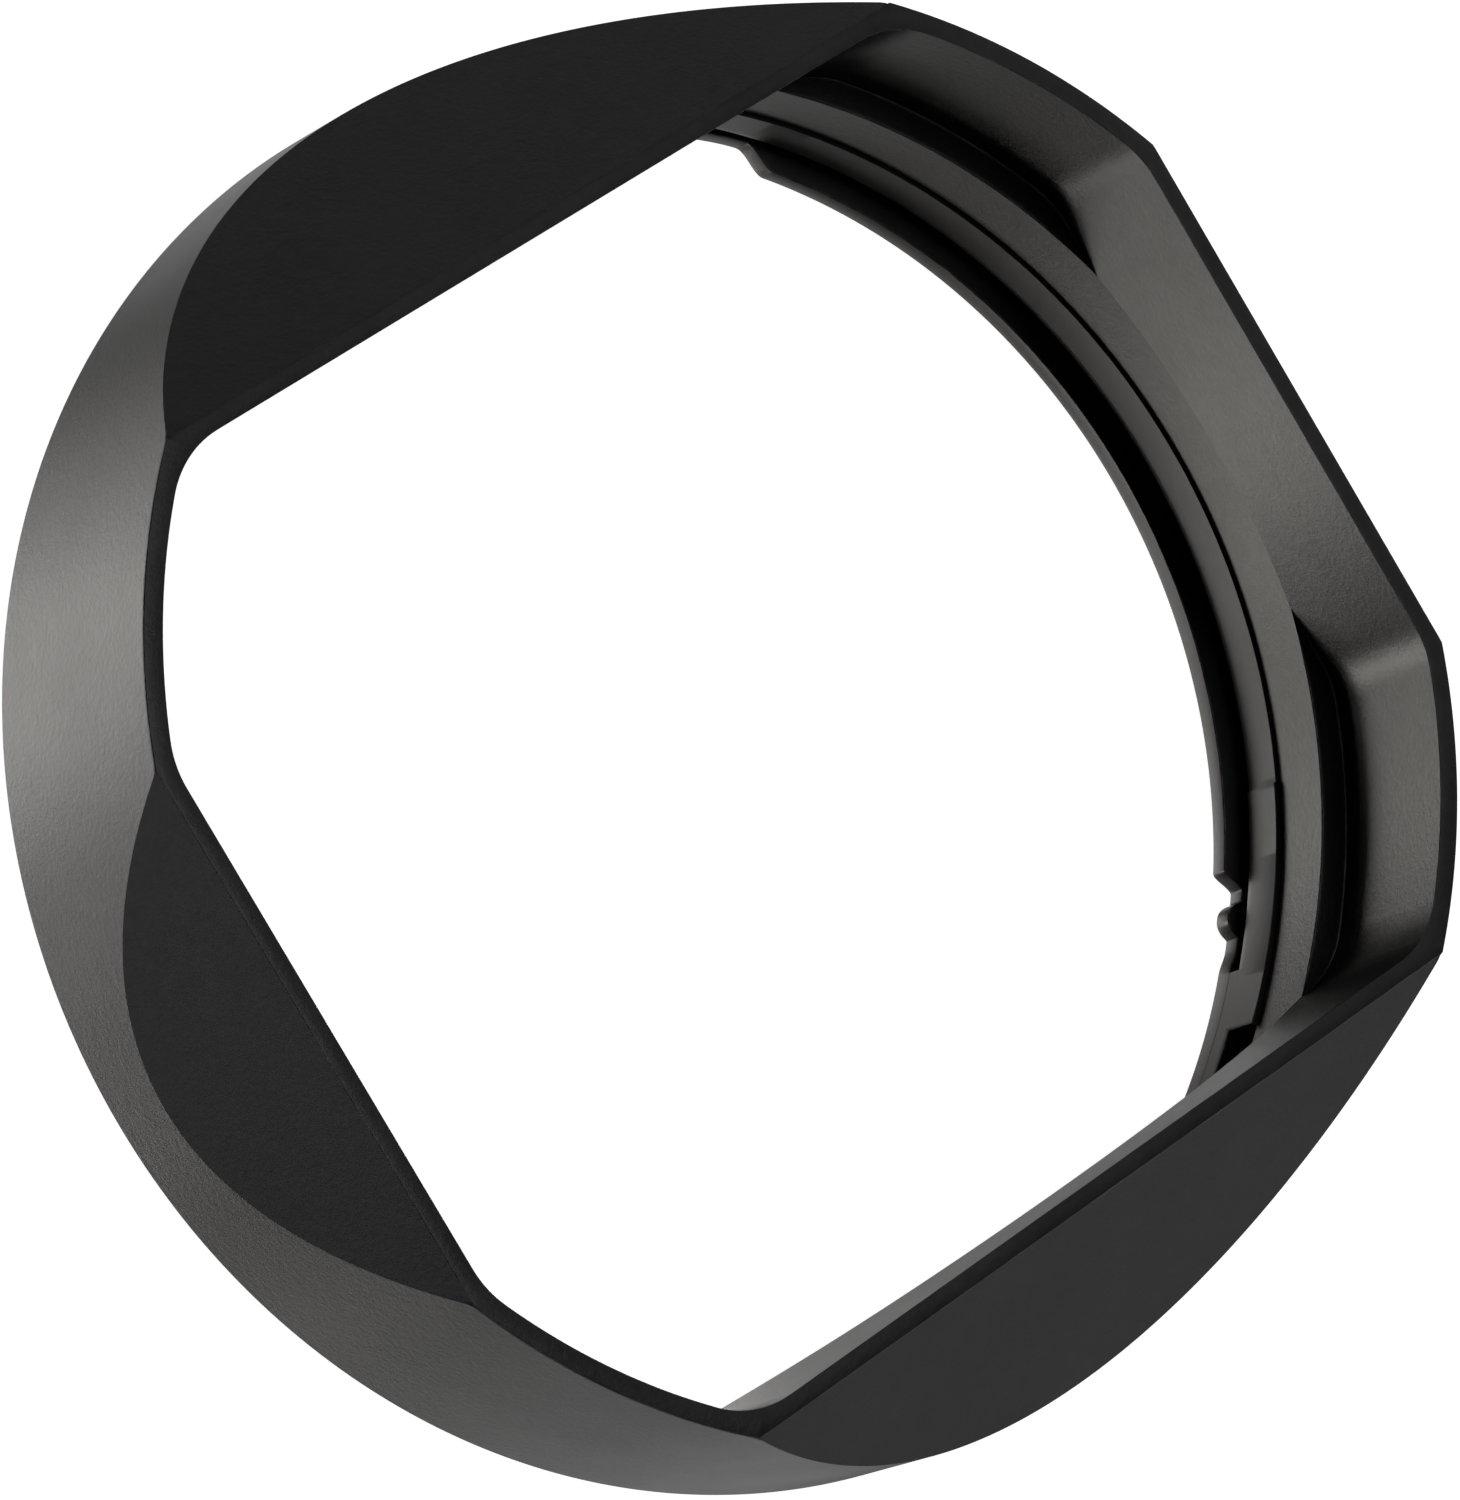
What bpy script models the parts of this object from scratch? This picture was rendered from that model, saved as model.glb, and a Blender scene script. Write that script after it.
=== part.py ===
"""Lens hood: a round metal shell with four sloping flats and a rectangular front opening, and the bayonet
ring that sits in the back of it.

Units are metres and +Z is up. The hood rests on the flat rear face of the bayonet ring, which lies in the
plane Z = 0 with the optical axis on the Z axis. The front rim is at the top and the long sides of the
opening run along X.
"""
import math

import bmesh
import bpy
from mathutils import Matrix, Vector

MM = 0.001

# ---------------------------------------------------------------- overall sizes
R_OUTER = 40.0 * MM            # outside of the round wall
Z_SHELL = 1.30 * MM            # rear edge of the shell, above the ring's rear face
Z_RIM = 19.05 * MM             # front rim
CHAMFER = 0.08 * MM            # broken edge at the back of the round wall
STEPS = 120                    # sides of a full turn

# ---------------------------------------------------------------- sloping flats outside
FLAT_LONG_Y = 30.17 * MM       # distance of a long flat from the axis, at the rim
FLAT_SHORT_X = 36.67 * MM      # distance of a short flat from the axis, at the rim
SLOPE_LONG = 0.82              # outward run of a long flat for each unit down from the rim
SLOPE_SHORT = 0.275            # outward run of a short flat for each unit down from the rim

# ---------------------------------------------------------------- front opening and corner pockets
OPEN_LONG_Y = 29.21 * MM       # inside face of a long side
OPEN_SHORT_X = 35.61 * MM      # inside face of a short side
POCKET_R = 38.88 * MM          # inside of the four corner walls
OPEN_FILLET = 5.8 * MM         # vertical fillet where a corner wall meets a side
Z_POCKET = 9.44 * MM           # floor of the corner pockets
FLOOR_FILLET = 0.8 * MM        # fillet between pocket floor and walls

# ---------------------------------------------------------------- inside of the shell
BORE_R = 37.22 * MM            # plain bore ahead of the bayonet ring
SEAT_R = 38.88 * MM            # counterbore that holds the bayonet ring
Z_SHOULDER = 5.30 * MM         # shoulder the ring seats against
DOME_TOP_R = 29.0 * MM         # the bore closes in to this radius
Z_DOME_TOP = 15.35 * MM        # height at which it does
DOME_BULGE = 0.105             # how far the closing wall bows away from a straight cone
DOME_STEPS = 8

# ---------------------------------------------------------------- bayonet ring
GAP = 0.30 * MM                # clearance between ring and shell
RING_R = SEAT_R - GAP
Z_RING = Z_SHOULDER - GAP
FLANGE_R = 39.30 * MM          # flange behind the rear edge of the shell
Z_FLANGE = Z_SHELL - GAP
LUG_R = 35.84 * MM             # inner face of the lugs
WALL_R = 36.87 * MM            # bore of the ring between the lugs
WALL_R_WIDE = 36.99 * MM       # slightly wider bore in front of the lugs
Z_LIP = 1.30 * MM              # thickness of the lugs
CHANNEL_R = 37.80 * MM         # depth of the channel in front of the lugs
Z_CHANNEL = 2.26 * MM          # front side of the channel
RECESS_R = 38.00 * MM          # relief pockets cut into the ring's front edge
Z_RECESS = 2.70 * MM

# angles about the axis in degrees, anticlockwise seen from the front
LUG_END = -38.0                # notch end of a lug
LUG_START = 44.2               # ramp end of a lug
RAMP_END = 47.3                # the ramp has run out into the bore here
NOTCH_FROM, NOTCH_TO = -39.2, -40.5
NOTCH_R = 37.06 * MM
BUMP_MID, BUMP_HALF = -42.20, 1.60
BUMP_R = 36.28 * MM            # crest of the detent bump
CHANNEL_FROM, CHANNEL_TO = -47.2, 52.0
WIDE_FROM, WIDE_TO = -31.0, 56.0
RECESS_FROM, RECESS_TO = -120.8, -53.2


# ================================================================ scene and helpers
for old in list(bpy.data.objects):
    bpy.data.objects.remove(old, do_unlink=True)

parts = bpy.data.collections.new("lens_hood")
cutters = bpy.data.collections.new("cutters")
bpy.context.scene.collection.children.link(parts)
bpy.context.scene.collection.children.link(cutters)
cutters.hide_render = True


def polar(radius, degrees, z=0.0):
    a = math.radians(degrees)
    return Vector((radius * math.cos(a), radius * math.sin(a), z))


def add_cutter(obj):
    cutters.objects.link(obj)
    obj.hide_render = True
    obj.display_type = 'WIRE'
    return obj


def lathe(name, profile, collection, steps=STEPS):
    """Turn a closed profile of (radius, z) corners about the Z axis with a Screw modifier."""
    mesh = bpy.data.meshes.new(name)
    verts = [(r, 0.0, z) for r, z in profile]
    count = len(verts)
    edges = [(i, (i + 1) % count) for i in range(count)]
    mesh.from_pydata(verts, edges, [])
    obj = bpy.data.objects.new(name, mesh)
    collection.objects.link(obj)
    screw = obj.modifiers.new("turn", 'SCREW')
    screw.axis = 'Z'
    screw.angle = math.tau
    screw.steps = steps
    screw.render_steps = steps
    screw.use_merge_vertices = True
    screw.merge_threshold = 1e-6
    screw.use_smooth_shade = True
    screw.use_normal_calculate = True
    return obj


def bake(obj):
    """Replace an object's mesh with the result of its modifiers and make its faces point outwards."""
    deps = bpy.context.evaluated_depsgraph_get()
    mesh = bpy.data.meshes.new_from_object(obj.evaluated_get(deps))
    obj.modifiers.clear()
    obj.data = mesh
    bm = bmesh.new()
    bm.from_mesh(mesh)
    bmesh.ops.remove_doubles(bm, verts=bm.verts, dist=1e-7)
    bmesh.ops.recalc_face_normals(bm, faces=bm.faces)
    bm.to_mesh(mesh)
    bm.free()
    return obj


def prism(name, outline, z_low, z_high):
    """Upright prism over a closed outline, from a filled 2-D curve with extrude."""
    curve = bpy.data.curves.new(name, 'CURVE')
    curve.dimensions = '2D'
    curve.fill_mode = 'BOTH'
    curve.extrude = (z_high - z_low) / 2.0
    spline = curve.splines.new('POLY')
    spline.points.add(len(outline) - 1)
    for point, corner in zip(spline.points, outline):
        point.co = (corner[0], corner[1], 0.0, 1.0)
    spline.use_cyclic_u = True
    source = bpy.data.objects.new(name + "_curve", curve)
    cutters.objects.link(source)
    deps = bpy.context.evaluated_depsgraph_get()
    mesh = bpy.data.meshes.new_from_object(source.evaluated_get(deps))
    bpy.data.objects.remove(source, do_unlink=True)
    mesh.transform(Matrix.Translation((0.0, 0.0, (z_low + z_high) / 2.0)))
    bm = bmesh.new()
    bm.from_mesh(mesh)
    bmesh.ops.remove_doubles(bm, verts=bm.verts, dist=1e-7)
    bmesh.ops.recalc_face_normals(bm, faces=bm.faces)
    bm.to_mesh(mesh)
    bm.free()
    return add_cutter(bpy.data.objects.new(name, mesh))


def arc(radius, start, end, step=360.0 / STEPS):
    """Points on an arc about the axis, both ends included."""
    count = max(1, round(abs(end - start) / step))
    return [polar(radius, start + (end - start) * i / count) for i in range(count + 1)]


def sector(name, r_in, r_out, start, end, z_low, z_high):
    """Cutter for part of a ring between two radii and two angles."""
    return prism(name, arc(r_out, start, end) + arc(r_in, end, start), z_low, z_high)


def half_turn(obj, name):
    """The same cutter on the other side of the axis."""
    twin = bpy.data.objects.new(name, obj.data.copy())
    twin.data.transform(Matrix.Rotation(math.pi, 4, 'Z'))
    return add_cutter(twin)


def cut(obj, cutter, operation='DIFFERENCE'):
    boolean = obj.modifiers.new(cutter.name, 'BOOLEAN')
    boolean.operation = operation
    boolean.solver = 'EXACT'
    boolean.object = cutter


def rounded_opening(half_x, half_y, corner_r, fillet, steps=5):
    """Outline of a rectangle whose corners are arcs about the axis, with a fillet at each joint."""
    # centre of the fillet beside a long side, and of the one beside a short side
    inner_r = corner_r - fillet
    long_c = Vector((math.sqrt(inner_r ** 2 - (half_y - fillet) ** 2), half_y - fillet))
    short_c = Vector((half_x - fillet, math.sqrt(inner_r ** 2 - (half_x - fillet) ** 2)))
    long_a = math.degrees(math.atan2(long_c.y, long_c.x))
    short_a = math.degrees(math.atan2(short_c.y, short_c.x))
    quarter = []
    for i in range(steps + 1):
        a = math.radians(short_a * i / steps)
        quarter.append((short_c.x + fillet * math.cos(a), short_c.y + fillet * math.sin(a)))
    quarter += [tuple(p.xy) for p in arc(corner_r, short_a, long_a)[1:-1]]
    for i in range(steps + 1):
        a = math.radians(long_a + (90.0 - long_a) * i / steps)
        quarter.append((long_c.x + fillet * math.cos(a), long_c.y + fillet * math.sin(a)))
    outline = list(quarter)
    outline += [(-x, y) for x, y in reversed(quarter)]
    outline += [(-x, -y) for x, y in quarter]
    outline += [(x, -y) for x, y in reversed(quarter)]
    return outline


def material(name, colour, roughness, metallic):
    mat = bpy.data.materials.new(name)
    mat.use_nodes = True
    shader = mat.node_tree.nodes["Principled BSDF"]
    shader.inputs["Base Color"].default_value = (*colour, 1.0)
    shader.inputs["Roughness"].default_value = roughness
    shader.inputs["Metallic"].default_value = metallic
    mat.diffuse_color = (*colour, 1.0)
    return mat


def shade(obj, degrees=30.0):
    """Smooth shading on round walls, with edges sharper than the angle kept crisp."""
    for poly in obj.data.polygons:
        poly.use_smooth = True
    bm = bmesh.new()
    bm.from_mesh(obj.data)
    for edge in bm.edges:
        if len(edge.link_faces) == 2:
            edge.smooth = edge.calc_face_angle(0.0) < math.radians(degrees)
    bm.to_mesh(obj.data)
    bm.free()


# ================================================================ hood shell
shell = lathe("hood_shell", [
    (SEAT_R, Z_SHELL),
    (R_OUTER - CHAMFER, Z_SHELL),
    (R_OUTER, Z_SHELL + CHAMFER),
    (R_OUTER, Z_RIM),
    (DOME_TOP_R - 6.0 * MM, Z_RIM),
    (DOME_TOP_R - 6.0 * MM, Z_DOME_TOP),
    (DOME_TOP_R, Z_DOME_TOP),
] + [
    # the wall that closes in from the bore to the sides of the opening, bowed a little forwards
    (DOME_TOP_R + (BORE_R - DOME_TOP_R) * t,
     Z_DOME_TOP + (Z_POCKET - Z_DOME_TOP) * (t - DOME_BULGE * math.sin(math.pi * t)))
    for t in [i / DOME_STEPS for i in range(1, DOME_STEPS)]
] + [
    (BORE_R, Z_POCKET),
    (BORE_R, Z_SHOULDER),
    (SEAT_R, Z_SHOULDER),
], parts)

# front opening, milled down to the floors of the corner pockets
opening = prism("opening_cutter",
                rounded_opening(OPEN_SHORT_X, OPEN_LONG_Y, POCKET_R, OPEN_FILLET),
                Z_POCKET, Z_RIM + 2.0 * MM)
bm = bmesh.new()
bm.from_mesh(opening.data)
floor_edges = [e for e in bm.edges
               if all(abs(v.co.z - Z_POCKET) < 1e-7 for v in e.verts)
               and any(abs(f.normal.z) < 0.5 for f in e.link_faces)]
bmesh.ops.bevel(bm, geom=floor_edges, offset=FLOOR_FILLET, offset_type='OFFSET',
                segments=4, profile=0.5, affect='EDGES', clamp_overlap=True)
bm.to_mesh(opening.data)
bm.free()
cut(shell, opening)


def flat_cutter(name, distance, slope, turn):
    """A block whose inner face is a sloping flat at the given distance from the axis at the rim."""
    bm = bmesh.new()
    bmesh.ops.create_cube(bm, size=1.0)
    for vert in bm.verts:
        down = 0.5 - vert.co.z                     # 0 at the top of the block, 1 at the bottom
        z = Z_RIM + 2.0 * MM - down * (Z_RIM + 6.0 * MM)
        face = distance + slope * (Z_RIM - z)
        x = face if vert.co.x < 0.0 else R_OUTER + 30.0 * MM
        vert.co = Vector((x, vert.co.y * 3.0 * R_OUTER, z))
    bmesh.ops.rotate(bm, verts=bm.verts, cent=(0.0, 0.0, 0.0),
                     matrix=Matrix.Rotation(math.radians(turn), 3, 'Z'))
    bmesh.ops.recalc_face_normals(bm, faces=bm.faces)
    mesh = bpy.data.meshes.new(name)
    bm.to_mesh(mesh)
    bm.free()
    return add_cutter(bpy.data.objects.new(name, mesh))


cut(shell, flat_cutter("flat_right_cutter", FLAT_SHORT_X, SLOPE_SHORT, 0.0))
cut(shell, flat_cutter("flat_back_cutter", FLAT_LONG_Y, SLOPE_LONG, 90.0))
cut(shell, flat_cutter("flat_left_cutter", FLAT_SHORT_X, SLOPE_SHORT, 180.0))
cut(shell, flat_cutter("flat_front_cutter", FLAT_LONG_Y, SLOPE_LONG, 270.0))

# ================================================================ bayonet ring
ring = lathe("bayonet_ring", [
    (LUG_R, 0.0),
    (FLANGE_R - CHAMFER, 0.0),
    (FLANGE_R, CHAMFER),
    (FLANGE_R, Z_FLANGE),
    (RING_R, Z_FLANGE),
    (RING_R, Z_RING),
    (WALL_R, Z_RING),
    (WALL_R, Z_LIP),
    (LUG_R, Z_LIP),
], parts)


def lug_gap():
    """Outline of the gap between two lugs: notch, detent bump, plain wall and the ramp of the next lug."""
    inner = LUG_R - 4.0 * MM
    plain = WALL_R - 0.02 * MM
    points = [polar(inner, LUG_END)]
    points += [polar(LUG_R, LUG_END), polar(LUG_R + 0.25 * MM, LUG_END - 0.45)]
    points += [polar(NOTCH_R - 0.25 * MM, NOTCH_FROM + 0.35)]
    points += arc(NOTCH_R, NOTCH_FROM, NOTCH_TO, 0.5)
    # rounded detent bump between its two feet
    for i in range(13):
        t = -1.0 + i / 6.0
        rise = 1.0 - abs(t) ** 2.5
        points.append(polar(NOTCH_R + (BUMP_R - NOTCH_R) * rise, BUMP_MID - BUMP_HALF * t))
    # plain wall, a little deeper for a few degrees at each end
    far = -180.0 + RAMP_END
    points += [polar(NOTCH_R, BUMP_MID - BUMP_HALF - 1.0)]
    points += arc(plain, BUMP_MID - BUMP_HALF - 2.5, far + 6.0)
    points += arc(NOTCH_R, far + 5.0, far)
    points += [polar(LUG_R, -180.0 + LUG_START), polar(inner, -180.0 + LUG_START)]
    points += arc(inner, -180.0 + LUG_START, LUG_END)[1:-1]
    return points


gap_a = prism("lug_gap_a_cutter", lug_gap(), -2.0 * MM, 2.0 * MM)
channel_a = sector("channel_a_cutter", LUG_R - 3.0 * MM, CHANNEL_R, CHANNEL_FROM, CHANNEL_TO,
                   Z_LIP - 0.02 * MM, Z_CHANNEL)
wide_a = sector("wide_bore_a_cutter", LUG_R - 3.5 * MM, WALL_R_WIDE, WIDE_FROM, WIDE_TO,
                Z_LIP + 0.40 * MM, Z_RING + 1.0 * MM)
recess_a = sector("recess_a_cutter", LUG_R - 3.0 * MM, RECESS_R, RECESS_FROM, RECESS_TO,
                  Z_RECESS, Z_RING + 1.0 * MM)
for first in (channel_a, wide_a, recess_a, gap_a):
    cut(ring, first)
    cut(ring, half_turn(first, first.name.replace("_a_", "_b_")))

# ================================================================ finish
black_shell = material("black_anodised_aluminium_shell", (0.020, 0.020, 0.021), 0.42, 0.0)
black_ring = material("black_anodised_aluminium_ring", (0.024, 0.024, 0.025), 0.38, 0.0)
for obj, mat in ((shell, black_shell), (ring, black_ring)):
    bake(obj)
    obj.data.materials.clear()
    obj.data.materials.append(mat)
    shade(obj)
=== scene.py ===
"""Looks of the lens hood: fine meshes that stand for the two CAD nodes, satin black anodised metal, a pale
studio floor, soft lights and the camera."""
import math

import bmesh
import bpy
from mathutils import Matrix, Vector


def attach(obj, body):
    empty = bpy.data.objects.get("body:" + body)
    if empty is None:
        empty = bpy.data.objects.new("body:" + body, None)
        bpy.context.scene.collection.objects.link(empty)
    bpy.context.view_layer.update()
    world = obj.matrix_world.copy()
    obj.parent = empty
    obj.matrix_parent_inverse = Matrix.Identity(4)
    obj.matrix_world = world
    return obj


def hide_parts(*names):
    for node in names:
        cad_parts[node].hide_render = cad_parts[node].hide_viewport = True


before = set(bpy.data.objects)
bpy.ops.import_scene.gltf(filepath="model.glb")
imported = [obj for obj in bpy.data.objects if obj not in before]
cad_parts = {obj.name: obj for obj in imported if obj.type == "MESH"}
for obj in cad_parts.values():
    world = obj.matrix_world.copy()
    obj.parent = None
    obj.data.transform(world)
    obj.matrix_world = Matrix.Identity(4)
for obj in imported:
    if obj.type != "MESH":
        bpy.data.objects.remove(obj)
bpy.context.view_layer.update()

MM = 0.001

# ---------------------------------------------------------------- sizes shared with the solids, in mm
R_OUTER, Z_SHELL, Z_RIM = 40.0, 1.30, 19.05
FLAT_LONG_Y, FLAT_SHORT_X = 30.17, 36.67
SLOPE_LONG, SLOPE_SHORT = 0.82, 0.275
OPEN_LONG_Y, OPEN_SHORT_X, POCKET_R, OPEN_FILLET = 29.21, 35.61, 38.88, 5.8
Z_POCKET = 9.44
BORE_R, SEAT_R, Z_SHOULDER = 37.22, 38.88, 5.17
DOME_TOP_R, Z_DOME_TOP, DOME_BULGE = 29.0, 15.35, 0.105
RING_R, Z_RING, FLANGE_R, Z_FLANGE = 38.80, 5.145, 39.30, 1.22
LUG_R, WALL_R, WALL_R_WIDE = 35.84, 36.87, 36.99
Z_LIP, CHANNEL_R, Z_CHANNEL = 1.30, 37.80, 2.26
RECESS_R, Z_RECESS = 38.00, 2.70
NOTCH_R, BUMP_R = 37.06, 36.28


# ================================================================ mesh building
ARC_STEPS = 4


def rounded(corners, steps=ARC_STEPS):
    """A closed profile of (r, z, radius) corners with every corner turned into a small arc.

    The number of points never changes, so profiles at neighbouring angles always join point to point. A corner
    beside a side of no length gets an arc of no length.
    """
    out = []
    count = len(corners)
    for i in range(count):
        r, z, want = corners[i]
        here = Vector((r, z))
        before = Vector(corners[i - 1][:2]) - here
        after = Vector(corners[(i + 1) % count][:2]) - here
        if want <= 0.0 or before.length < 1e-7 or after.length < 1e-7:
            out += [here.copy() for _ in range(steps + 1)]
            continue
        u, v = before.normalized(), after.normalized()
        half = math.acos(max(-1.0, min(1.0, u.dot(v)))) / 2.0
        if half > math.radians(89.0) or half < math.radians(2.0):
            out += [here.copy() for _ in range(steps + 1)]
            continue
        # a straight run is shared with the next corner, so an arc takes at most 45% of it
        reach = min(want / math.tan(half), 0.45 * before.length, 0.45 * after.length)
        radius = reach * math.tan(half)
        middle = here + (u + v).normalized() * (radius / math.sin(half))
        a = here + u * reach - middle
        b = here + v * reach - middle
        sweep = math.atan2(a.x * b.y - a.y * b.x, a.dot(b))
        for k in range(steps + 1):
            t = sweep * k / steps
            out.append(middle + Vector((a.x * math.cos(t) - a.y * math.sin(t),
                                        a.x * math.sin(t) + a.y * math.cos(t))))
    return out


def spin(name, profile, angles, sharp=38.0):
    """A closed surface through the profile at each angle about the Z axis. profile(a) gives (r, z) in mm."""
    bm = bmesh.new()
    rows = []
    for a in angles:
        c, s = math.cos(math.radians(a)), math.sin(math.radians(a))
        rows.append([bm.verts.new((p.x * c * MM, p.x * s * MM, p.y * MM)) for p in profile(a)])
    count = len(rows[0])
    wear_and_highlight_mark = bm.faces.layers.float.new("edge_wear_and_highlight")
    for i, row in enumerate(rows):
        nxt = rows[(i + 1) % len(rows)]
        for k in range(count):
            m = (k + 1) % count
            face = bm.faces.new((row[k], nxt[k], nxt[m], row[m]))
            # the faces inside a corner's arc are the ones that hands and lens caps rub; the lighter colour they get
            # is partly that wear and partly a painted highlight along the edges
            face[wear_and_highlight_mark] = 0.0 if k % (ARC_STEPS + 1) == ARC_STEPS else 1.0
    bmesh.ops.remove_doubles(bm, verts=bm.verts, dist=2.0e-7)
    bmesh.ops.dissolve_degenerate(bm, edges=bm.edges, dist=1.0e-7)
    bmesh.ops.recalc_face_normals(bm, faces=bm.faces)
    for face in bm.faces:
        face.smooth = True
    for edge in bm.edges:
        if len(edge.link_faces) == 2:
            edge.smooth = edge.calc_face_angle(0.0) < math.radians(sharp)
    mesh = bpy.data.meshes.new(name)
    bm.to_mesh(mesh)
    bm.free()
    obj = bpy.data.objects.new(name, mesh)
    bpy.context.scene.collection.objects.link(obj)
    # wide faces keep their own direction and the small arcs between them carry the whole turn
    weigh = obj.modifiers.new("weigh", 'WEIGHTED_NORMAL')
    weigh.mode = 'FACE_AREA'
    weigh.keep_sharp = True
    baked = bpy.data.meshes.new_from_object(obj.evaluated_get(bpy.context.evaluated_depsgraph_get()))
    baked.name = name
    obj.modifiers.clear()
    obj.data = baked
    bpy.data.meshes.remove(mesh)
    return obj


def smooth(t):
    t = max(0.0, min(1.0, t))
    return t * t * (3.0 - 2.0 * t)


def fan(extra, step=0.4):
    """Angles all the way round, with extra ones where the section changes suddenly."""
    marks = sorted(set(round((a + 180.0) % 360.0 - 180.0, 4) for a in extra))
    regular = [-180.0 + step * i for i in range(round(360.0 / step))]
    clear = [a for a in regular if all(abs((a - m + 180.0) % 360.0 - 180.0) > 0.35 * step for m in marks)]
    return sorted(marks + clear)


# ================================================================ hood shell
INNER_R = POCKET_R - OPEN_FILLET
LONG_C = (math.sqrt(INNER_R ** 2 - (OPEN_LONG_Y - OPEN_FILLET) ** 2), OPEN_LONG_Y - OPEN_FILLET)
SHORT_C = (OPEN_SHORT_X - OPEN_FILLET, math.sqrt(INNER_R ** 2 - (OPEN_SHORT_X - OPEN_FILLET) ** 2))
LONG_A = math.degrees(math.atan2(LONG_C[1], LONG_C[0]))
SHORT_A = math.degrees(math.atan2(SHORT_C[1], SHORT_C[0]))
SHORT_END = math.degrees(math.atan2(SHORT_C[1], OPEN_SHORT_X))
LONG_END = math.degrees(math.atan2(OPEN_LONG_Y, LONG_C[0]))


def first_quarter(a):
    """The same angle folded into 0 to 90 degrees."""
    a = abs((a + 180.0) % 360.0 - 180.0)
    return 180.0 - a if a > 90.0 else a


def ray_to_circle(a, centre, radius):
    c, s = math.cos(math.radians(a)), math.sin(math.radians(a))
    along = centre[0] * c + centre[1] * s
    across = centre[0] * s - centre[1] * c
    return along + math.sqrt(max(0.0, radius ** 2 - across ** 2))


def opening_r(a):
    """Distance from the axis to the wall of the front opening."""
    q = first_quarter(a)
    if q <= SHORT_END:
        return OPEN_SHORT_X / math.cos(math.radians(q))
    if q <= SHORT_A:
        return ray_to_circle(q, SHORT_C, OPEN_FILLET)
    if q <= LONG_A:
        return POCKET_R
    if q <= LONG_END:
        return ray_to_circle(q, LONG_C, OPEN_FILLET)
    return OPEN_LONG_Y / math.sin(math.radians(q))


def dome_z(r):
    t = (r - DOME_TOP_R) / (BORE_R - DOME_TOP_R)
    return Z_DOME_TOP + (Z_POCKET - Z_DOME_TOP) * (t - DOME_BULGE * math.sin(math.pi * t))


def outside(a):
    """Where the flat starts on the round wall, and the radius at the rim."""
    q = math.radians(first_quarter(a))
    best_z, best_r = Z_RIM, R_OUTER
    for distance, slope, share in ((FLAT_SHORT_X, SLOPE_SHORT, math.cos(q)), (FLAT_LONG_Y, SLOPE_LONG, math.sin(q))):
        if share * R_OUTER > distance:
            z = Z_RIM - (share * R_OUTER - distance) / slope
            best_z, best_r = z, distance / share
    return best_z, best_r


RIM_EDGE = 0.055
FLOOR_FILLET = 0.45


def shell_profile(a):
    z_flat, r_rim = outside(a)
    r_open = opening_r(a)
    pocket = r_open > BORE_R
    z_wall = Z_POCKET if pocket else dome_z(r_open)
    mid = []
    for i in range(1, 6):
        t = i / 6.0
        r = r_open + (BORE_R - r_open) * t
        mid.append((r, Z_POCKET if pocket else dome_z(r), 0.0))
    corners = [
        (SEAT_R, Z_SHELL, 0.08),
        (R_OUTER, Z_SHELL, 0.10),
        (R_OUTER, min(z_flat, Z_RIM - 0.25), 0.10),
        (r_rim, Z_RIM, RIM_EDGE),
        (r_open, Z_RIM, RIM_EDGE * 0.8),
        (r_open, z_wall, FLOOR_FILLET * smooth((r_open - BORE_R) / 0.9)),
    ] + mid + [
        (BORE_R, Z_POCKET, 0.08 if pocket else 0.0),
        (BORE_R, Z_SHOULDER, 0.05),
        (SEAT_R, Z_SHOULDER, 0.05),
    ]
    return rounded(corners)


# angles where flats begin and end, and where the opening's fillets do
marks = []
for q in (math.degrees(math.acos(FLAT_SHORT_X / R_OUTER)), math.degrees(math.asin(FLAT_LONG_Y / R_OUTER)),
          SHORT_END, SHORT_A, LONG_A, LONG_END):
    marks += [q, -q, 180.0 - q, q - 180.0]
shell = spin("hood_shell_fine", shell_profile, fan(marks))


# ================================================================ bayonet ring
LUG_END, LUG_START, RAMP_END = -38.0, 44.2, 47.3
CHANNEL_FROM, CHANNEL_TO = -47.2, 52.0
WIDE_FROM, WIDE_TO = -31.0, 56.0
RECESS_FROM, RECESS_TO = -120.8, -53.2
BUMP_MID, BUMP_HALF = -42.20, 1.60
JUMP = 0.03


def half_turn_angle(a):
    """The same angle folded so that one lug, from -38 to 44.2 degrees, and the gap before it cover the range."""
    a = (a + 180.0) % 180.0
    return a - 180.0 if a > RAMP_END else a


def lip_r(a):
    """Inner edge of the lip: lug, notch, detent bump, plain wall and ramp."""
    h = half_turn_angle(a)
    if LUG_END <= h <= LUG_START:
        return LUG_R
    if h > LUG_START:
        return LUG_R + (NOTCH_R - LUG_R) * smooth((h - LUG_START) / (RAMP_END - LUG_START))
    if h > -39.6:
        return LUG_R + (NOTCH_R - LUG_R) * smooth((LUG_END - h) / 1.6)
    t = (h - BUMP_MID) / BUMP_HALF
    if abs(t) < 1.0:
        return NOTCH_R + (BUMP_R - NOTCH_R) * (1.0 - abs(t) ** 2.5) ** 0.9
    if h > -44.8:
        return NOTCH_R
    plain = WALL_R - 0.01
    if h > -47.0:
        return NOTCH_R + (plain - NOTCH_R) * smooth((-44.8 - h) / 2.2)
    last = RAMP_END - 180.0
    if h < last + 7.0:
        return NOTCH_R + (plain - NOTCH_R) * smooth((h - last) / 7.0)
    return plain


def between(h, low, high):
    """1 inside a range of angles and 0 outside it, with a very short change at each end."""
    for shift in (0.0, -180.0, 180.0):
        if low <= h + shift <= high:
            return 1.0
    return 0.0


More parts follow.
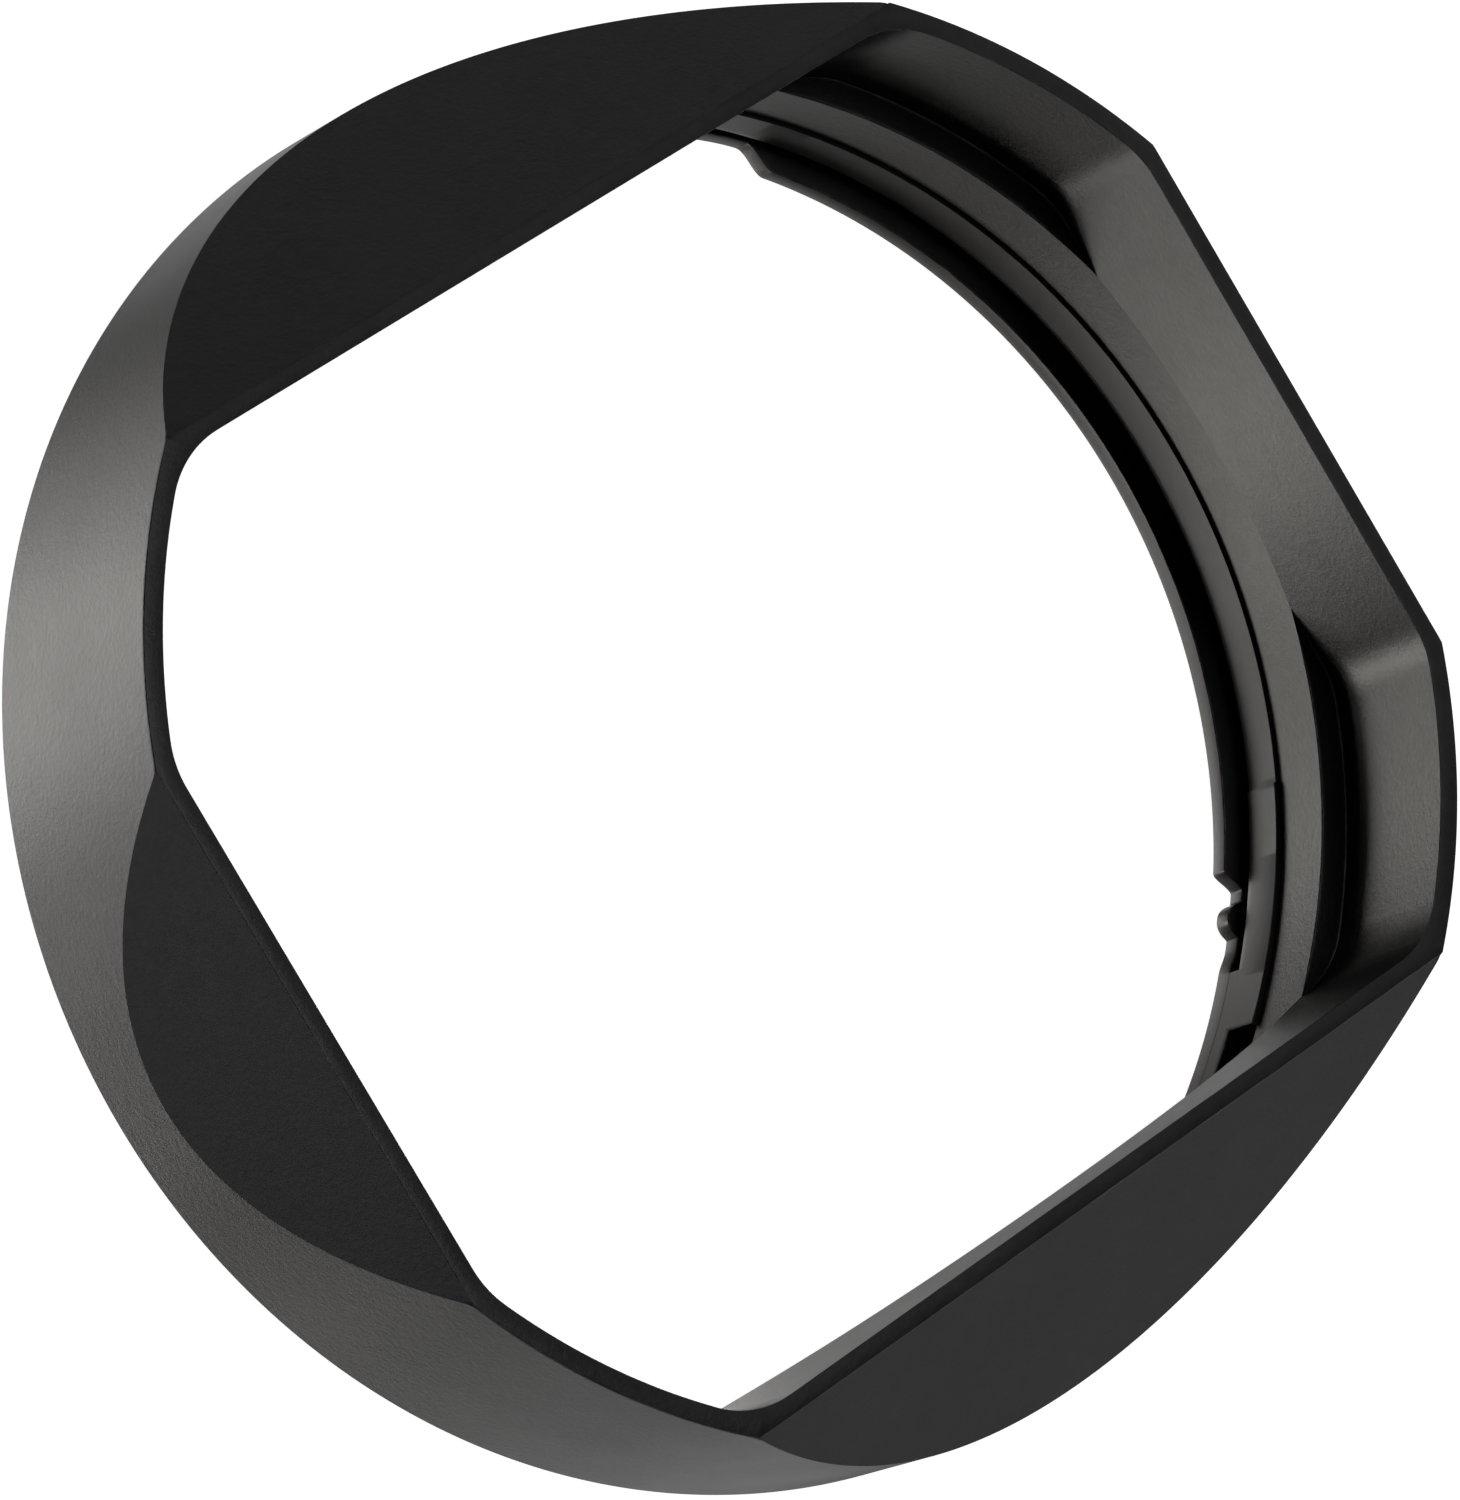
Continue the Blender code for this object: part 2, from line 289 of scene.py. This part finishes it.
def ring_profile(a):
    h = half_turn_angle(a)
    wide = between(h, WIDE_FROM, WIDE_TO)
    wall = WALL_R + (WALL_R_WIDE - WALL_R) * wide
    channel = CHANNEL_R if between(h, CHANNEL_FROM, CHANNEL_TO) else None
    recess = RECESS_R if between(h, RECESS_FROM, RECESS_TO) else None
    lip = lip_r(a)
    r_channel = channel or max(wall, lip)
    r_recess = recess or wall
    step = 0.05
    corners = [
        (lip, 0.0, 0.10),
        (FLANGE_R, 0.0, 0.15),
        (FLANGE_R, Z_FLANGE, 0.05),
        (RING_R, Z_FLANGE, 0.05),
        (RING_R, Z_RING, 0.05),
        (r_recess, Z_RING, 0.04),
        (r_recess, Z_RECESS, 0.0 if recess is None else 0.12),
        (wall, Z_RECESS, 0.0 if recess is None else step),
        (wall, Z_CHANNEL, 0.0 if channel is None else step),
        (r_channel, Z_CHANNEL, 0.0 if channel is None else 0.08),
        (r_channel, Z_LIP, 0.0 if channel is None else 0.08),
        (lip, Z_LIP, 0.0 if channel is None else 0.09),
    ]
    return rounded(corners)


marks = []
for base in (CHANNEL_FROM, CHANNEL_TO, WIDE_FROM, WIDE_TO, RECESS_FROM, RECESS_TO):
    marks += [base, base - JUMP, base + JUMP, base + 180.0, base + 180.0 - JUMP, base + 180.0 + JUMP]
for lo, hi, n in ((-48.0, -37.5, 84), (44.0, 48.0, 16)):
    for i in range(n + 1):
        a = lo + (hi - lo) * i / n
        marks += [a, a + 180.0]
ring = spin("bayonet_ring_fine", ring_profile, fan(marks))

# ================================================================ materials
def node(tree, kind, **values):
    n = tree.nodes.new(kind)
    for key, value in values.items():
        if key in n.inputs:
            n.inputs[key].default_value = value
        else:
            setattr(n, key, value)
    return n


def anodised(name, outside_f0, inside_f0, outside_rough, inside_rough, grain_depth, turning):
    """Black anodised aluminium: a very dark metal with blasted grain outside and finer tool marks inside.

    The colour is the strength of the head-on reflection. The small rounded edges are lighter: partly wear that shows
    a little more of the metal below, partly a painted highlight.
    """
    mat = bpy.data.materials.new(name)
    mat.use_nodes = True
    tree = mat.node_tree
    tree.nodes.clear()
    link = tree.links.new
    out = node(tree, "ShaderNodeOutputMaterial")
    shader = node(tree, "ShaderNodeBsdfPrincipled")
    shader.inputs["Metallic"].default_value = 1.0
    link(shader.outputs["BSDF"], out.inputs["Surface"])
    coords = node(tree, "ShaderNodeTexCoord")
    shape = node(tree, "ShaderNodeNewGeometry")

    # 1 on faces that look outward or along the axis, 0 on the walls of the opening and the bore
    flat_radial = node(tree, "ShaderNodeVectorMath", operation='MULTIPLY')
    flat_radial.inputs[1].default_value = (1.0, 1.0, 0.0)
    link(coords.outputs["Object"], flat_radial.inputs[0])
    radial = node(tree, "ShaderNodeVectorMath", operation='NORMALIZE')
    link(flat_radial.outputs["Vector"], radial.inputs[0])
    facing = node(tree, "ShaderNodeVectorMath", operation='DOT_PRODUCT')
    link(radial.outputs["Vector"], facing.inputs[0])
    link(shape.outputs["True Normal"], facing.inputs[1])
    outward = node(tree, "ShaderNodeMapRange")
    outward.inputs["From Min"].default_value = -0.35
    outward.inputs["From Max"].default_value = -0.05
    link(facing.outputs["Value"], outward.inputs["Value"])

    # blasted grain in two sizes, clouding of the dye, and small dust specks
    fine = node(tree, "ShaderNodeTexNoise", Scale=1.0 / (0.11 * MM), Detail=3.0, Roughness=0.6)
    coarse = node(tree, "ShaderNodeTexNoise", Scale=1.0 / (0.34 * MM), Detail=2.0, Roughness=0.5)
    cloud = node(tree, "ShaderNodeTexNoise", Scale=1.0 / (6.0 * MM), Detail=4.0, Roughness=0.55)
    blotch = node(tree, "ShaderNodeTexNoise", Scale=1.0 / (0.9 * MM), Detail=3.0, Roughness=0.6)
    for tex in (fine, coarse, cloud, blotch):
        link(coords.outputs["Object"], tex.inputs["Vector"])
    grain = node(tree, "ShaderNodeMath", operation='MULTIPLY_ADD')
    grain.inputs[1].default_value = 1.6
    link(coarse.outputs["Fac"], grain.inputs[0])
    link(fine.outputs["Fac"], grain.inputs[2])
    # tool marks: rings of constant height round the axis, strongest on the inner walls
    split = node(tree, "ShaderNodeSeparateXYZ")
    link(coords.outputs["Object"], split.inputs["Vector"])
    along = node(tree, "ShaderNodeCombineXYZ")
    link(split.outputs["Z"], along.inputs["Z"])
    marks = node(tree, "ShaderNodeTexNoise", Scale=1.0 / (0.10 * MM), Detail=2.0, Roughness=0.6)
    link(along.outputs["Vector"], marks.inputs["Vector"])
    share = node(tree, "ShaderNodeMapRange")
    share.inputs["To Min"].default_value = turning
    share.inputs["To Max"].default_value = 0.12 * turning
    link(outward.outputs["Result"], share.inputs["Value"])
    lines = node(tree, "ShaderNodeMath", operation='MULTIPLY')
    link(marks.outputs["Fac"], lines.inputs[0])
    link(share.outputs["Result"], lines.inputs[1])
    relief = node(tree, "ShaderNodeMath", operation='ADD')
    link(grain.outputs[0], relief.inputs[0])
    link(lines.outputs[0], relief.inputs[1])
    bump = node(tree, "ShaderNodeBump", Strength=1.0, Distance=grain_depth * MM)
    link(relief.outputs[0], bump.inputs["Height"])
    link(bump.outputs["Normal"], shader.inputs["Normal"])

    # colour
    def rgb(f0, warm):
        return (f0 * (1.0 + warm), f0, f0 * (1.0 - warm), 1.0)

    where = node(tree, "ShaderNodeMix", data_type='RGBA')
    where.inputs[6].default_value = rgb(inside_f0, 0.03)
    where.inputs[7].default_value = rgb(outside_f0, 0.0)
    link(outward.outputs["Result"], where.inputs[0])
    tone = node(tree, "ShaderNodeMapRange")
    tone.inputs["From Min"].default_value = 0.3
    tone.inputs["From Max"].default_value = 0.7
    tone.inputs["To Min"].default_value = 0.90
    tone.inputs["To Max"].default_value = 1.10
    link(cloud.outputs["Fac"], tone.inputs["Value"])
    mottle = node(tree, "ShaderNodeMapRange")
    mottle.inputs["From Min"].default_value = 0.25
    mottle.inputs["From Max"].default_value = 0.75
    mottle.inputs["To Min"].default_value = 0.93
    mottle.inputs["To Max"].default_value = 1.07
    link(blotch.outputs["Fac"], mottle.inputs["Value"])
    both = node(tree, "ShaderNodeMath", operation='MULTIPLY')
    link(tone.outputs["Result"], both.inputs[0])
    link(mottle.outputs["Result"], both.inputs[1])
    clouded = node(tree, "ShaderNodeVectorMath", operation='SCALE')
    link(where.outputs[2], clouded.inputs[0])
    link(both.outputs[0], clouded.inputs["Scale"])
    # wear and painted highlight: a lighter colour, patchy, only on the small rounded edges
    edge = node(tree, "ShaderNodeAttribute", attribute_name="edge_wear_and_highlight")
    patch = node(tree, "ShaderNodeTexNoise", Scale=1.0 / (2.4 * MM), Detail=3.0, Roughness=0.65)
    link(coords.outputs["Object"], patch.inputs["Vector"])
    patchy = node(tree, "ShaderNodeMapRange")
    patchy.inputs["From Min"].default_value = 0.42
    patchy.inputs["From Max"].default_value = 0.68
    patchy.inputs["To Min"].default_value = 0.10
    patchy.inputs["To Max"].default_value = 1.0
    link(patch.outputs["Fac"], patchy.inputs["Value"])
    amount = node(tree, "ShaderNodeMath", operation='MULTIPLY')
    link(edge.outputs["Fac"], amount.inputs[0])
    link(patchy.outputs["Result"], amount.inputs[1])
    # the edge colour mixed in here is partly worn metal and partly a painted highlight
    worn_and_highlit = node(tree, "ShaderNodeMix", data_type='RGBA')
    worn_and_highlit.inputs[7].default_value = (WEAR_AND_HIGHLIGHT_F0 * 1.0, WEAR_AND_HIGHLIGHT_F0 * 0.99, WEAR_AND_HIGHLIGHT_F0 * 1.02, 1.0)
    link(amount.outputs[0], worn_and_highlit.inputs[0])
    link(clouded.outputs["Vector"], worn_and_highlit.inputs[6])
    link(worn_and_highlit.outputs[2], shader.inputs["Base Color"])

    # roughness: duller outside, a little smoother inside, clouded with the colour
    base = node(tree, "ShaderNodeMapRange")
    base.inputs["To Min"].default_value = inside_rough
    base.inputs["To Max"].default_value = outside_rough
    link(outward.outputs["Result"], base.inputs["Value"])
    drift = node(tree, "ShaderNodeMapRange")
    drift.inputs["From Min"].default_value = 0.3
    drift.inputs["From Max"].default_value = 0.7
    drift.inputs["To Min"].default_value = -0.02
    drift.inputs["To Max"].default_value = 0.02
    link(cloud.outputs["Fac"], drift.inputs["Value"])
    rough = node(tree, "ShaderNodeMath", operation='ADD')
    link(base.outputs["Result"], rough.inputs[0])
    link(drift.outputs["Result"], rough.inputs[1])
    link(rough.outputs[0], shader.inputs["Roughness"])
    return mat


# reflection strength of the small rounded edges: partly worn metal, partly a painted highlight
WEAR_AND_HIGHLIGHT_F0 = 0.11
shell_mat = anodised("black_anodised_aluminium_shell", 0.050, 0.041, 0.36, 0.33, 0.0080, 0.3)
ring_mat = anodised("black_anodised_aluminium_ring", 0.038, 0.033, 0.38, 0.34, 0.0030, 0.7)

for obj, mat, cad, slot_name in (
        (shell, shell_mat, "hood_shell", "black_anodised_aluminium_shell"),
        (ring, ring_mat, "bayonet_ring", "black_anodised_aluminium_ring")):
    obj.data.materials.append(mat)
    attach(obj, "root")
    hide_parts(cad)

# ================================================================ floor
def pale_floor(radius=2.2):
    """A plain pale sweep under the part. It gives off a little light of its own, as a lit table does."""
    bm = bmesh.new()
    rings = [0.0, 0.05, 0.1, 0.2, 0.4, 0.8, 1.4, radius]
    rows = []
    for r in rings[1:]:
        rows.append([bm.verts.new((r * math.cos(math.radians(a)), r * math.sin(math.radians(a)), 0.0))
                     for a in range(0, 360, 5)])
    centre = bm.verts.new((0.0, 0.0, 0.0))
    n = len(rows[0])
    for k in range(n):
        bm.faces.new((centre, rows[0][k], rows[0][(k + 1) % n]))
        for a, b in zip(rows, rows[1:]):
            bm.faces.new((a[k], b[k], b[(k + 1) % n], a[(k + 1) % n]))
    mesh = bpy.data.meshes.new("studio_floor")
    bm.to_mesh(mesh)
    bm.free()
    obj = bpy.data.objects.new("studio_floor", mesh)
    bpy.context.scene.collection.objects.link(obj)
    return obj


floor = pale_floor()
floor.location.z = -0.0002
floor_mat = bpy.data.materials.new("studio_floor_white")
floor_mat.use_nodes = True
ftree = floor_mat.node_tree
fshader = ftree.nodes["Principled BSDF"]
fshader.inputs["Base Color"].default_value = (0.5, 0.5, 0.5, 1.0)
fshader.inputs["Roughness"].default_value = 0.9
fshader.inputs["Specular IOR Level"].default_value = 0.0
fshader.inputs["Emission Color"].default_value = (1.0, 1.0, 1.0, 1.0)
fshader.inputs["Emission Strength"].default_value = 1.0
floor.data.materials.append(floor_mat)
# the floor is only the plain ground behind the part: the part is lit from all round, as in a light tent
floor.visible_diffuse = False
floor.visible_glossy = False
floor.visible_transmission = False
floor.visible_shadow = False

# ================================================================ light
def softbox(name, azimuth, elevation, distance, size, energy, colour=(1.0, 1.0, 1.0), tall=None):
    """A square or oblong soft light aimed at the part, at an azimuth and elevation in degrees."""
    data = bpy.data.lights.new(name, 'AREA')
    data.shape = 'RECTANGLE'
    data.size = size
    data.size_y = tall or size
    data.energy = energy
    data.color = colour
    obj = bpy.data.objects.new(name, data)
    a, e = math.radians(azimuth), math.radians(elevation)
    away = Vector((math.cos(e) * math.cos(a), math.cos(e) * math.sin(a), math.sin(e)))
    obj.location = away * distance + Vector((0.0, 0.0, 0.01))
    obj.rotation_euler = away.to_track_quat('Z', 'Y').to_euler()
    obj.visible_camera = False
    bpy.context.scene.collection.objects.link(obj)
    return obj


WARM, PLAIN, COOL = (1.0, 0.98, 0.94), (1.0, 0.992, 0.99), (0.99, 0.975, 1.0)
LIGHTS = (
    # azimuth, elevation, power in watts, colour: soft panels all round, most of them low as in a light table
    (270, -2, 1.9902, COOL),
    (0, -46, 1.5457, PLAIN),
    (180, -84, 0.9125, WARM),
    (120, -60, 0.8894, WARM),
    (300, 15, 0.8506, COOL),
    (0, 80, 0.6948, COOL),
    (90, -73, 0.5883, WARM),
    (90, -2, 0.5847, COOL),
    (180, -2, 0.5789, COOL),
    (225, -2, 0.5309, COOL),
    (150, -60, 0.3701, WARM),
    (180, -73, 0.3093, WARM),
    (180, -30, 0.2992, COOL),
    (225, -73, 0.2905, WARM),
    (90, 50, 0.2682, COOL),
    (45, -2, 0.2485, COOL),
    (90, -60, 0.2455, WARM),
    (30, -60, 0.2160, PLAIN),
    (270, -73, 0.2067, WARM),
    (315, -2, 0.1993, COOL),
    (300, -60, 0.1884, PLAIN),
    (270, 50, 0.1531, COOL),
    (300, -15, 0.1400, COOL),
    (0, 50, 0.1253, COOL),
    (270, -60, 0.1188, PLAIN),
    (60, -15, 0.1124, COOL),
    (240, -60, 0.0882, PLAIN),
    (60, -46, 0.0854, PLAIN),
    (180, -60, 0.0489, WARM),
    (60, -60, 0.0261, PLAIN),
)
for number, (az, el, power, colour) in enumerate(LIGHTS):
    softbox("soft_%02d" % number, az, el, 1.0, 0.3, power, colour)

FILLS = (
    # azimuth, elevation, power in watts, width in metres: wide panels that light the sides away from the camera
    (0, 12, 2.2, 0.5), (0, -38, 2.0, 0.45), (330, 20, 0.25, 0.4), (28, 24, 0.25, 0.4),
)
for number, (az, el, power, width) in enumerate(FILLS):
    softbox("fill_%02d" % number, az, el, 1.0, width, power, PLAIN)

BORE_BOOST = 1.75
BORE_LIGHTS = (
    # x, y, z and width in mm, power in watts: small soft discs behind the bore, which light its inner walls
    (-15, -7, -35, 14, 0.000559),
    (-15, 6, -35, 14, 0.001130),
    (-25, 10, -80, 28, 0.002403),
    (-50, -40, -80, 28, 0.000400),
    (-50, 40, -80, 28, 0.001400),
    (0, -7, -35, 14, 0.001456),
)
for number, (x, y, z, width, power) in enumerate(BORE_LIGHTS):
    data = bpy.data.lights.new("bore_%02d" % number, 'AREA')
    data.shape = 'DISK'
    data.size = width * MM
    data.energy = power * BORE_BOOST
    data.color = WARM
    disc = bpy.data.objects.new("bore_%02d" % number, data)
    disc.location = (x * MM, y * MM, z * MM)
    away = disc.location - Vector((0.034, 0.0, 0.010))
    disc.rotation_euler = away.to_track_quat('Z', 'Y').to_euler()
    disc.visible_camera = False
    bpy.context.scene.collection.objects.link(disc)

world = bpy.data.worlds.new("studio")
bpy.context.scene.world = world
world.use_nodes = True
world.node_tree.nodes["Background"].inputs["Color"].default_value = (0.97, 0.985, 1.0, 1.0)
world.node_tree.nodes["Background"].inputs["Strength"].default_value = 0.0200

# ================================================================ camera
# pose in units of the outer radius, about a point 1.32 mm above the rear face
UNIT = R_OUTER * MM
CAM_EYE = (-6.2700556, 0.9714942, 10.5996591 + 0.033)
CAM_RIGHT = (0.7177115, -0.5055732, 0.4788381)
CAM_DOWN = (-0.4702872, -0.8590552, -0.2021243)
CAM_AHEAD = (0.5135370, -0.0801245, -0.8543183)

cam_data = bpy.data.cameras.new("camera")
cam_data.lens = 215.974
cam_data.sensor_width = 36.0
cam_data.sensor_fit = 'AUTO'
cam_data.clip_start = 0.01
cam_data.clip_end = 20.0
camera = bpy.data.objects.new("camera", cam_data)
camera.matrix_world = Matrix((
    (CAM_RIGHT[0], -CAM_DOWN[0], -CAM_AHEAD[0], CAM_EYE[0] * UNIT),
    (CAM_RIGHT[1], -CAM_DOWN[1], -CAM_AHEAD[1], CAM_EYE[1] * UNIT),
    (CAM_RIGHT[2], -CAM_DOWN[2], -CAM_AHEAD[2], CAM_EYE[2] * UNIT),
    (0.0, 0.0, 0.0, 1.0)))
bpy.context.scene.collection.objects.link(camera)
bpy.context.scene.camera = camera

bpy.context.scene.view_settings.view_transform = 'Standard'
bpy.context.scene.view_settings.look = 'None'

bpy.context.view_layer.update()


def plain(box):
    return [[float(v) for v in corner] for corner in box]
